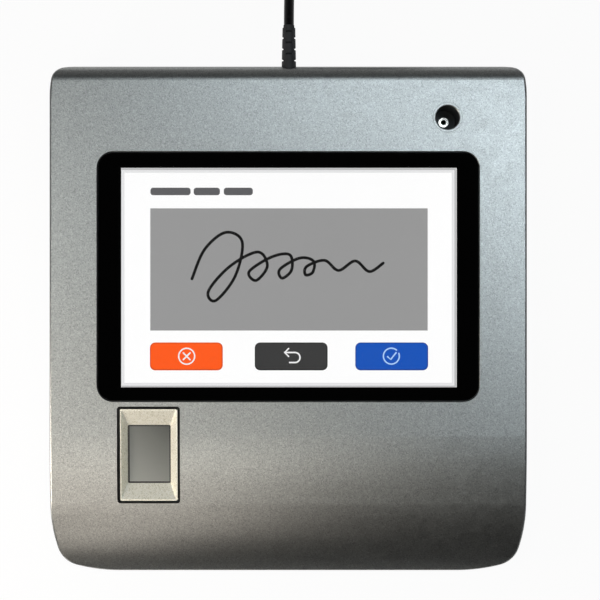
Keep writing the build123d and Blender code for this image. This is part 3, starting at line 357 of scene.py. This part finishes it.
class Finish:
    """A material with its shader, to which effects are linked."""

    def __init__(self, name, **fixed):
        self.name = name
        self.material = bpy.data.materials.new(name)
        self.material.use_nodes = True
        self.tree = self.material.node_tree
        self.shader = self.tree.nodes["Principled BSDF"]
        for label, value in fixed.items():
            self.shader.inputs[label.replace("_", " ")].default_value = value

    def effect(self, group, **fed):
        """The outputs of a shared effect with this finish's own values."""
        node = self.tree.nodes.new("ShaderNodeGroup")
        node.node_tree = group
        for label, value in fed.items():
            feed(self.tree, value, node.inputs[label.replace("_", " ")])
        return node.outputs

    def link(self, output, label):
        """One of the shader's sockets linked to a node's output."""
        self.tree.links.new(output, self.shader.inputs[label])

    def relief(self, height, depth):
        """The height as bumps of the given depth in millimetres."""
        bumps = add_node(
            self.tree, "ShaderNodeBump", "Normal", Height=height, Distance=depth * MM, Strength=1.0
        )
        self.link(bumps, "Normal")

    def coat(self, effect, colour, depth, height=None):
        """A colour, the effect's gloss, and a relief of its height or of another."""
        self.link(colour, "Base Color")
        self.link(effect["Roughness"], "Roughness")
        self.relief(effect["Height"] if height is None else height, depth)


def silver_flake(finish):
    """The silver paint of the case."""
    return finish.effect(
        paint_flake_group, Colour=rgb(162, 164, 163), Flake=rgb(183, 185, 184),
        Deep=rgb(140, 142, 141), Flake_Scale=3200, Smooth=0.3, Rough=0.38,
    )


def case_paint():
    """Satin silver paint, and painted shade: the ledge down in the gap round the glass is coloured
    black.
    """
    gap_lift = -0.15
    gap_shade_black = rgb(6, 6, 6)
    finish = Finish("case_paint")
    tree = finish.tree
    paint = silver_flake(finish)
    place = finish.effect(deck_place_group)
    # Painted shade: below the deck, inside the glass opening, the ledge is coloured black and is
    # not metal.
    sunk = add_math(tree, "LESS_THAN", place["Lift"], gap_lift)
    gap = add_math(tree, "MULTIPLY", inside(tree, place, *glass_opening), sunk)
    finish.link(add_range(tree, gap, 0, 1, 1, 0), "Metallic")
    finish.coat(paint, add_blend(tree, gap, paint["Colour"], gap_shade_black), depth=0.003)
    return finish


def well_paint():
    """Case silver on the pen well's flush rim and dark plastic down inside it."""
    rim_lift = -0.3
    rim_roughness, inner_roughness = 0.34, 0.5
    finish = Finish("well_finish")
    tree = finish.tree
    silver = silver_flake(finish)
    dark = finish.effect(
        moulded_grain_group, Colour=rgb(80, 85, 88), Shade=rgb(72, 77, 80), Grain=2600, Patch=60
    )
    rim = add_math(tree, "GREATER_THAN", finish.effect(deck_place_group)["Lift"], rim_lift)
    finish.link(add_blend(tree, rim, dark["Colour"], silver["Colour"]), "Base Color")
    finish.link(rim, "Metallic")
    finish.link(add_range(tree, rim, 0, 1, inner_roughness, rim_roughness), "Roughness")
    finish.relief(silver["Height"], depth=0.003)
    return finish


def cover_glass():
    """Clear cover glass with a faint uneven polish, printed black round the picture."""
    finish = Finish("cover_glass", Transmission_Weight=1.0, IOR=1.5)
    polish = finish.effect(moulded_grain_group, Grain=800, Patch=25, Smooth=0.01, Rough=0.025)
    finish.link(polish["Roughness"], "Roughness")
    clear = inside(finish.tree, finish.effect(deck_place_group), *glass_window)
    finish.link(add_blend(finish.tree, clear, rgb(0, 0, 0), rgb(255, 255, 255)), "Base Color")
    return finish


def reader_paint():
    """Pale sparkling paint on the reader's frame, and black painted shade on the flange down in
    the gap round it.
    """
    gap_shade_black = rgb(9, 9, 10)
    frame_metallic = 0.45
    finish = Finish("reader_paint")
    tree = finish.tree
    paint = finish.effect(
        paint_flake_group, Colour=rgb(249, 247, 233), Flake=rgb(255, 254, 246),
        Deep=rgb(222, 219, 200), Flake_Scale=3300, Smooth=0.36, Rough=0.48,
    )
    # Painted shade: outside the frame, the flange down in the gap is coloured black.
    framed = inside(tree, finish.effect(deck_place_group), *reader_frame)
    finish.link(add_range(tree, framed, 0, 1, 0, frame_metallic), "Metallic")
    finish.coat(paint, add_blend(tree, framed, gap_shade_black, paint["Colour"]), depth=0.004)
    return finish


def reader_glass():
    """Smooth scanner glass with a painted sheen, a lighter grey towards its near left corner, and
    a black line near its edge.
    """
    line_black = rgb(2, 2, 2)
    corner_sheen_grey = rgb(154, 157, 153)
    full_sheen_sum, plain = -116, -81
    finish = Finish("reader_glass")
    tree = finish.tree
    pane = finish.effect(
        moulded_grain_group, Colour=rgb(70, 73, 70), Shade=rgb(65, 68, 65),
        Grain=1200, Patch=45, Smooth=0.3, Rough=0.36,
    )
    place = finish.effect(deck_place_group)
    # Painted sheen: the pane's colour turns a lighter grey towards its near left corner.
    from_corner = add_math(tree, "ADD", place["X"], place["V"])
    sheen_share = add_range(tree, from_corner, full_sheen_sum, plain, 1, 0)
    sheened_pane = add_blend(tree, sheen_share, pane["Colour"], corner_sheen_grey)
    framed = inside(tree, place, *reader_window)
    finish.coat(pane, add_blend(tree, framed, line_black, sheened_pane), depth=0.001)
    return finish


def relief_rubber():
    """Matt rubber on the strain relief, with painted shade that darkens it down in its grooves and
    slots.
    """
    sleeve_axis = Vector((0.2, 0, 29.6))
    dark_radius, plain_radius = 2.2, 2.28
    groove_shade_black = rgb(6, 6, 7)
    finish = Finish("relief_rubber", Specular_IOR_Level=0.25)
    tree = finish.tree
    rubber = finish.effect(
        moulded_grain_group, Colour=rgb(58, 59, 61), Shade=rgb(48, 49, 51),
        Grain=2400, Patch=120, Smooth=0.42, Rough=0.55,
    )
    from_axis = add_vector_math(
        tree, "SUBTRACT", "Vector", object_place(tree), sleeve_axis * MM
    )
    across = add_vector_math(tree, "MULTIPLY", "Vector", from_axis, (1 / MM, 0, 1 / MM))
    radius = add_vector_math(tree, "LENGTH", "Value", across)
    # Painted shade: the rubber turns black where it lies below the outer surface, in the grooves
    # and slots.
    deep = add_range(tree, radius, dark_radius, plain_radius, 1, 0)
    finish.coat(rubber, add_blend(tree, deep, rubber["Colour"], groove_shade_black), depth=0.02)
    return finish


def circuit_board():
    """Green solder mask over copper tracks."""
    track_green = rgb(38, 118, 76)
    track_scale, track_edges = 160, (0.03, 0.05)
    finish = Finish("circuit_board", Specular_IOR_Level=0.5)
    tree = finish.tree
    mask = finish.effect(
        moulded_grain_group, Colour=rgb(16, 82, 52), Shade=rgb(12, 70, 44),
        Grain=2600, Patch=60, Smooth=0.3, Rough=0.42,
    )
    tracks = tree.nodes.new("ShaderNodeTexVoronoi")
    tracks.feature = "DISTANCE_TO_EDGE"
    tracks.inputs["Scale"].default_value = track_scale
    tree.links.new(object_place(tree), tracks.inputs["Vector"])
    line = add_range(tree, tracks.outputs["Distance"], *track_edges, 1, 0)
    finish.coat(mask, add_blend(tree, line, mask["Colour"], track_green), 0.03, height=line)
    return finish


def ribbon_film():
    """Amber ribbon film with its conductors showing as stripes along it."""
    dark_amber, pale_amber = rgb(178, 106, 34), rgb(206, 140, 66)
    stripe_scale = 320
    finish = Finish("ribbon_film", Specular_IOR_Level=0.5)
    tree = finish.tree
    film = finish.effect(moulded_grain_group, Grain=1500, Patch=80, Smooth=0.3, Rough=0.42)
    stripes = add_node(
        tree, "ShaderNodeTexWave", "Fac", Vector=object_place(tree), Scale=stripe_scale
    )
    stripes.node.bands_direction = "X"
    finish.coat(film, add_blend(tree, stripes, dark_amber, pale_amber), 0.02, height=stripes)
    return finish


def moulded(name, colour, shade, grain, patch, smooth, rough, depth, dust=0, **fixed):
    """A moulded plastic, rubber or plain metal finish."""
    finish = Finish(name, **fixed)
    body = finish.effect(
        moulded_grain_group, Colour=rgb(*colour), Shade=rgb(*shade),
        Grain=grain, Patch=patch, Smooth=smooth, Rough=rough,
    )
    surface = body["Colour"]
    if dust:
        surface = finish.effect(settled_dust_group, Colour=surface, Amount=dust)["Colour"]
    finish.coat(body, surface, depth)
    return finish


bare_metal = {"Metallic": 1.0}
no_gloss = {"Specular_IOR_Level": 0.0}
# Name, colour, shade, grain and patch scales, least and most roughness, relief depth, dust
moulded_rows = (
    ("base_plastic", (72, 74, 76), (62, 64, 66), 2600, 30, 0.48, 0.6, 0.02, 0.1),
    ("rubber", (44, 44, 45), (34, 34, 35), 1500, 60, 0.7, 0.85, 0.03, 0.15),
    ("display", (30, 31, 34), (24, 25, 28), 3000, 30, 0.15, 0.22, 0.001),
    ("backlight_white", (232, 232, 228), (222, 222, 218), 2200, 30, 0.45, 0.6, 0.01),
    ("black_plastic", (34, 36, 38), (27, 29, 31), 2600, 60, 0.42, 0.55, 0.01, 0.05),
    ("chip_black", (38, 38, 40), (30, 30, 32), 3200, 80, 0.5, 0.65, 0.01),
    ("connector_ivory", (226, 220, 200), (214, 207, 186), 2400, 90, 0.4, 0.52, 0.008),
    ("cable_jacket", (15, 15, 16), (11, 11, 12), 1600, 70, 0.07, 0.12, 0.001, 0.02),
    ("tie_strap", (30, 30, 31), (22, 22, 23), 1800, 60, 0.45, 0.6, 0.015, 0.05),
)
metal_rows = (
    ("steel", (186, 188, 190), (168, 170, 173), 1800, 50, 0.25, 0.4, 0.004),
    ("nickel", (214, 212, 206), (198, 196, 190), 2400, 90, 0.18, 0.28, 0.001),
    ("capacitor_can", (200, 202, 206), (182, 184, 188), 2000, 70, 0.25, 0.36, 0.004),
)
film_row = ("black_film", (2, 2, 2), (1, 1, 1), 3000, 50, 0.5, 0.6, 0.002)
finishes = [
    *[moulded(*row) for row in moulded_rows],
    *[moulded(*row, **bare_metal) for row in metal_rows],
    moulded(*film_row, **no_gloss),
    cover_glass(), case_paint(), reader_paint(), reader_glass(), relief_rubber(),
    circuit_board(), ribbon_film(),
]
slot_materials = {finish.name: finish.material for finish in finishes}

for node_row in frame["record"]["subparts"]:
    carried = nodes[node_row["node"]]
    carried.data.materials.clear()
    carried.data.materials.append(slot_materials[node_row["material_slot"]])
nodes["pen_well"].data.materials[0] = well_paint().material
pad_cable.data.materials.append(slot_materials["cable_jacket"])

# The lit picture, in flat pieces on the display panel, each a little above the one before
picture_depth = 3.05
picture_layer = 0.03
picture_brightness = 1.08
picture_shade = 0.975


def lit(name, colour):
    """Light from the picture through its fine grid of picture cells."""
    finish = Finish(
        name, Base_Color=(0.01, 0.01, 0.01, 1), Roughness=0.5, Specular_IOR_Level=0.0,
        Emission_Strength=picture_brightness,
    )
    shade = tuple(level * picture_shade for level in colour[:3]) + (1,)
    cells = finish.effect(moulded_grain_group, Colour=colour, Shade=shade, Grain=5500, Patch=25)
    finish.link(cells["Colour"], "Emission Color")
    return finish.material


def picture_piece(name, layer, material, outlines):
    """A flat piece of the picture from outlines of deck points; one of two rows is a band."""
    mesh = bmesh.new()

    def corners(points):
        lift = layer * picture_layer - picture_depth
        return [mesh.verts.new(on_deck(x, v, lift)) for x, v in points]

    for outline in outlines:
        if len(outline) == 2:
            left, right = corners(outline[0]), corners(outline[1])
            for quad in zip(left, right, right[1:], left[1:]):
                mesh.faces.new(quad)
        else:
            mesh.faces.new(corners(outline))
    bmesh.ops.triangulate(mesh, faces=[face for face in mesh.faces if len(face.verts) > 4])
    for face in mesh.faces:
        face.normal_update()
        if face.normal.dot(off_deck) < 0:
            face.normal_flip()
    data = bpy.data.meshes.new(name)
    mesh.to_mesh(data)
    mesh.free()
    data.materials.append(material)
    piece = add_object(name, data)
    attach(piece, "root")


def rounded_box(x, v, width, depth, corner, steps=8):
    """The outline of a rectangle with round corners about a centre."""
    points = []
    for quarter, (side_x, side_v) in enumerate(((1, 1), (-1, 1), (-1, -1), (1, -1))):
        for step in range(steps + 1):
            turn = math.pi / 2 * (quarter + step / steps)
            points.append((
                x + side_x * (width / 2 - corner) + corner * math.cos(turn),
                v + side_v * (depth / 2 - corner) + corner * math.sin(turn),
            ))
    return points


def stroke(points, width):
    """A band of the given width along a row of points, with round ends."""
    headings = []
    for index in range(len(points)):
        first = Vector(points[max(index - 1, 0)])
        last = Vector(points[min(index + 1, len(points) - 1)])
        headings.append((last - first).normalized())
    rows = [[], []]
    for (x, v), heading in zip(points, headings):
        for row, side in zip(rows, (1, -1)):
            row.append((x - side * heading.y * width / 2, v + side * heading.x * width / 2))
    least_side = 0.001
    ends = [
        rounded_box(*points[end], width, width, width / 2 - least_side, steps=4)
        for end in (0, -1)
    ]
    return [rows, *ends]


def arc(x, v, radius, start, end, steps):
    """Points round a centre between two angles in degrees."""
    turns = [math.radians(start + (end - start) * step / steps) for step in range(steps + 1)]
    return [(x + radius * math.cos(turn), v + radius * math.sin(turn)) for turn in turns]


def smooth_line(points):
    """A smooth line through the points."""
    steps = 10
    ends = [points[0], *points, points[-1]]
    line = []
    for before, first, last, after in zip(ends, ends[1:], ends[2:], ends[3:]):
        for step in range(steps):
            t = step / steps
            line.append(tuple(
                0.5 * (
                    2 * b + (c - a) * t + (2 * a - 5 * b + 4 * c - d) * t ** 2
                    + (3 * b - a - 3 * c + d) * t ** 3
                )
                for a, b, c, d in zip(before, first, last, after)
            ))
    return [*line, points[-1]]


def strips(rows, corner=0.05):
    """Boxes with small corners, from rows of centre, width and depth."""
    return [rounded_box(*row, corner, steps=2) for row in rows]


# Painted shadow along the page's edges, where the border shades the picture: a pale band with a
# grey line at its outer edge.
edge_shadow_bands = (
    (0.25, 52.8, 119.9, 1.6), (59.4, 14.4, 1.7, 78.4),
    (0.25, -24.0, 119.9, 1.5), (-59.3, 14.4, 1.2, 78.4),
)
edge_shadow_lines = ((0.25, 53.3, 119.9, 0.7), (59.9, 14.4, 0.7, 78.4), (0.25, -24.6, 119.9, 0.6))
heading_bars = ((-42.2, 45.3, 14.4, 2.7), (-29.2, 45.3, 9.4, 2.7), (-17.9, 45.3, 10.4, 2.7))
scribble_points = (
    (-34.5, 14.0), (-30.0, 24.5), (-22.5, 30.6), (-16.5, 27.2), (-19.0, 15.0), (-26.0, 6.2),
    (-28.6, 9.6), (-21.0, 18.4), (-11.0, 23.6), (-7.5, 18.6), (-11.5, 13.4), (-14.0, 16.6),
    (-6.0, 21.8), (0.5, 22.6), (1.2, 17.2), (-2.2, 14.2), (-3.0, 17.4), (4.0, 21.4),
    (9.0, 20.4), (8.8, 16.4), (6.2, 15.4), (6.6, 18.4), (13.0, 20.6), (18.0, 17.0),
    (24.0, 20.4), (29.0, 16.6), (34.0, 19.6),
)
# Piece, layer, light, its colour, outlines
picture_rows = (
    (
        "screen_page", 1, "page_white", rgb(255, 255, 255),
        strips([(*page_centre, 121.0, 79.5)], corner=0.2),
    ),
    # The next two pieces are painted shadow along the page's edges.
    ("screen_edge_shadow", 2, "edge_shadow_pale", rgb(230, 230, 231), strips(edge_shadow_bands)),
    ("screen_edge_shadow_line", 3, "edge_shadow_grey", rgb(190, 190, 191), strips(edge_shadow_lines)),
    (
        "screen_heading", 2, "heading_grey", rgb(96, 96, 98),
        [rounded_box(*bar, corner=1.0) for bar in heading_bars],
    ),
    (
        "screen_box", 2, "box_grey", rgb(152, 152, 152),
        strips([(0.25, 17.35, 99.4, 43.8)], corner=0.1),
    ),
    (
        "screen_scribble", 3, "ink_black", rgb(22, 22, 22),
        stroke(smooth_line(scribble_points), width=1.05),
    ),
)
for piece_name, piece_layer, light_name, light_colour, piece_outlines in picture_rows:
    picture_piece(piece_name, piece_layer, lit(light_name, light_colour), piece_outlines)

edge_layer, face_layer, icon_layer = 2, 3, 4
# Centre's v, width, depth and corner, the same for each button
button_edge = (-13.81, 26.1, 10.0, 1.95)
button_face = (-13.75, 25.3, 9.2, 1.6)
# Button, centre's x, colours of the face and the edge
button_rows = (
    ("cancel", -36.52, rgb(255, 92, 30), rgb(214, 78, 28)),
    ("undo", 1.04, rgb(60, 60, 60), rgb(44, 44, 44)),
    ("accept", 37.06, rgb(26, 84, 184), rgb(20, 66, 150)),
)
for button, button_x, face_colour, edge_colour in button_rows:
    picture_piece(
        button + "_button_edge", edge_layer, lit(button + "_edge", edge_colour),
        [rounded_box(button_x, *button_edge)],
    )
    picture_piece(
        button + "_button", face_layer, lit(button + "_fill", face_colour),
        [rounded_box(button_x, *button_face)],
    )

ring_radius = 2.85
ring_width = 0.5
mark_width = 0.55
icon_white = lit("icon_white", rgb(238, 238, 238))
icon_pale = lit("icon_pale", rgb(170, 205, 245))
picture_piece(
    "cancel_icon", icon_layer, icon_white,
    [
        *stroke(arc(-36.4, -13.75, ring_radius, 0, 360, steps=48), ring_width),
        *stroke([(-37.6, -12.55), (-35.2, -14.95)], mark_width),
        *stroke([(-35.2, -12.55), (-37.6, -14.95)], mark_width),
    ],
)
undo_bend = arc(2.4, -14.2, 1.8, 90, -90, steps=16)
picture_piece(
    "undo_icon", icon_layer, icon_white,
    [
        *stroke([(-1.3, -12.4), (2.4, -12.4), *undo_bend, (0.5, -16.0)], mark_width),
        *stroke([(0.1, -11.0), (-1.3, -12.4), (0.1, -13.8)], mark_width),
    ],
)
picture_piece(
    "accept_icon", icon_layer, icon_pale,
    [
        *stroke(arc(36.93, -13.7, ring_radius, 50, 380, steps=44), ring_width),
        *stroke([(35.6, -13.9), (36.7, -14.9), (38.6, -12.5)], mark_width),
    ],
)


# Studio: a pale floor, a white surround, and soft lamps kept out of what the cover glass mirrors
def soft_lamp(name, x, v, lift, width, power, tint):
    """A soft square lamp over the deck, aimed at its middle."""
    lamp = bpy.data.lights.new(name, "AREA")
    lamp.shape = "SQUARE"
    lamp.size = width * MM
    lamp.energy = power
    lamp.color = tint
    holder = add_object(name, lamp)
    holder.location = on_deck(x, v, lift)
    holder.rotation_mode = "QUATERNION"
    holder.rotation_quaternion = (on_deck(0, 0) - holder.location).to_track_quat("-Z", "Y")
    holder.visible_camera = False


cool_tint = (0.89, 1.0, 1.07)
plain_tint = (0.99, 1.0, 0.97)
warm_tint = (1.05, 1.0, 0.9)
low_warm_tint = (1.11, 1.0, 0.88)
# Name, place on the deck and lift, width, power in watts, tint
lamp_rows = (
    ("rear_lamp", 60, 220, 834, 130, 0.265, cool_tint),
    ("rear_left_lamp", -40, 220, 834, 130, 0.158, cool_tint),
    ("rear_right_lamp", 160, 220, 834, 130, 0.119, cool_tint),
    ("far_rear_lamp", 230, 170, 779, 110, 0.3, cool_tint),
    ("far_right_lamp", 270, 60, 779, 130, 0.321, cool_tint),
    ("right_lamp", 310, -20, 779, 165, 0.112, cool_tint),
    ("far_left_lamp", -300, 60, 779, 200, 0.417, plain_tint),
    ("front_left_lamp", -240, -150, 834, 150, 0.132, warm_tint),
    ("front_lamp", -80, -205, 834, 150, 0.27, warm_tint),
    ("low_left_lamp", -180, -170, 362, 150, 0.029, low_warm_tint),
    ("low_front_lamp", -110, -220, 362, 150, 0.088, low_warm_tint),
    ("near_left_lamp", -230, -90, 120, 90, 0.32, low_warm_tint),
    ("near_front_left_lamp", -110, -230, 130, 90, 0.0246, low_warm_tint),
    ("near_front_lamp", -60, -240, 200, 90, 0.0169, low_warm_tint),
)
for lamp_row in lamp_rows:
    soft_lamp(*lamp_row)


def white_backdrop(tree):
    """The share of white that a ray sees: all of it from the camera or through a clear piece,
    and in a gloss less than half, least over the ground at the front right."""
    rear_gloss, front_gloss = 0.45, 0.06
    forward_weight = -2
    front_start, front_full = 0, 0.2
    path = tree.nodes.new("ShaderNodeLightPath").outputs
    ground = split_vector(tree, tree.nodes.new("ShaderNodeNewGeometry").outputs["Position"])
    frontness = add_math(tree, "MULTIPLY_ADD", ground["Y"], forward_weight, ground["X"])
    gloss_share = add_range(tree, frontness, front_start, front_full, rear_gloss, front_gloss)
    mirrored = add_math(tree, "MULTIPLY", path["Is Glossy Ray"], gloss_share)
    seen = add_math(tree, "MAXIMUM", path["Is Camera Ray"], mirrored)
    return add_math(tree, "MAXIMUM", seen, path["Is Transmission Ray"])


floor_reach = 8
floor_glow_share = 0.95
floor_material = bpy.data.materials.new("floor_white")
floor_material.use_nodes = True
floor_tree = floor_material.node_tree
floor_shader = floor_tree.nodes["Principled BSDF"]
floor_shader.inputs["Base Color"].default_value = (0.9, 0.9, 0.9, 1)
floor_shader.inputs["Roughness"].default_value = 0.8
floor_shader.inputs["Specular IOR Level"].default_value = 0.0
floor_glow = floor_tree.nodes.new("ShaderNodeEmission")
floor_mix = floor_tree.nodes.new("ShaderNodeMixShader")
floor_share = add_math(floor_tree, "MULTIPLY", white_backdrop(floor_tree), floor_glow_share)
for mix_input, mixed in enumerate((floor_share, floor_shader.outputs[0], floor_glow.outputs[0])):
    floor_tree.links.new(mixed, floor_mix.inputs[mix_input])
floor_end = floor_tree.nodes["Material Output"]
floor_tree.links.new(floor_mix.outputs[0], floor_end.inputs["Surface"])

floor_data = bpy.data.meshes.new("studio_floor")
floor_corners = [
    (x * floor_reach, y * floor_reach, 0) for x, y in ((-1, -1), (1, -1), (1, 1), (-1, 1))
]
floor_data.from_pydata(floor_corners, [], [(0, 1, 2, 3)])
floor_data.materials.append(floor_material)
studio_floor = add_object("studio_floor", floor_data)

# The world: white low down, and above it a dim room that is lighter at its rear and sides
dim_room = (0.02, 0.02, 0.02, 1)
pale_room = (0.2, 0.2, 0.2, 1)
white = (1, 1, 1, 1)
# Spans of the direction over which each of them fades
low_fade = (0.01, 0.09)
rear_fade, rear_top_fade = (-0.1, 0.8), (0.95, 0.5)
side_fade, side_top_fade = (0.25, 0.65), (0.75, 0.45)
world = bpy.data.worlds.new("studio_surround")
bpy.context.scene.world = world
world.use_nodes = True
world_tree = world.node_tree
surround = world_tree.nodes["Background"]
world_place = world_tree.nodes.new("ShaderNodeTexCoord").outputs["Generated"]
toward = split_vector(world_tree, world_place)
sideways = add_math(world_tree, "ABSOLUTE", toward["X"])
low_share = add_range(world_tree, toward["Z"], *low_fade, 1, 0)
rear_share = add_math(
    world_tree, "MULTIPLY", add_range(world_tree, toward["Y"], *rear_fade),
    add_range(world_tree, toward["Z"], *rear_top_fade),
)
side_share = add_math(
    world_tree, "MULTIPLY", add_range(world_tree, sideways, *side_fade),
    add_range(world_tree, toward["Z"], *side_top_fade),
)
room = add_blend(world_tree, rear_share, dim_room, pale_room)
room = add_blend(world_tree, side_share, room, pale_room)
white_share = add_math(
    world_tree, "MAXIMUM",
    world_tree.nodes.new("ShaderNodeLightPath").outputs["Is Camera Ray"],
    add_math(world_tree, "MULTIPLY", low_share, white_backdrop(world_tree)),
)
world_colour = add_blend(world_tree, white_share, room, white)
world_tree.links.new(world_colour, surround.inputs["Color"])

bpy.context.scene.view_settings.view_transform = "Standard"
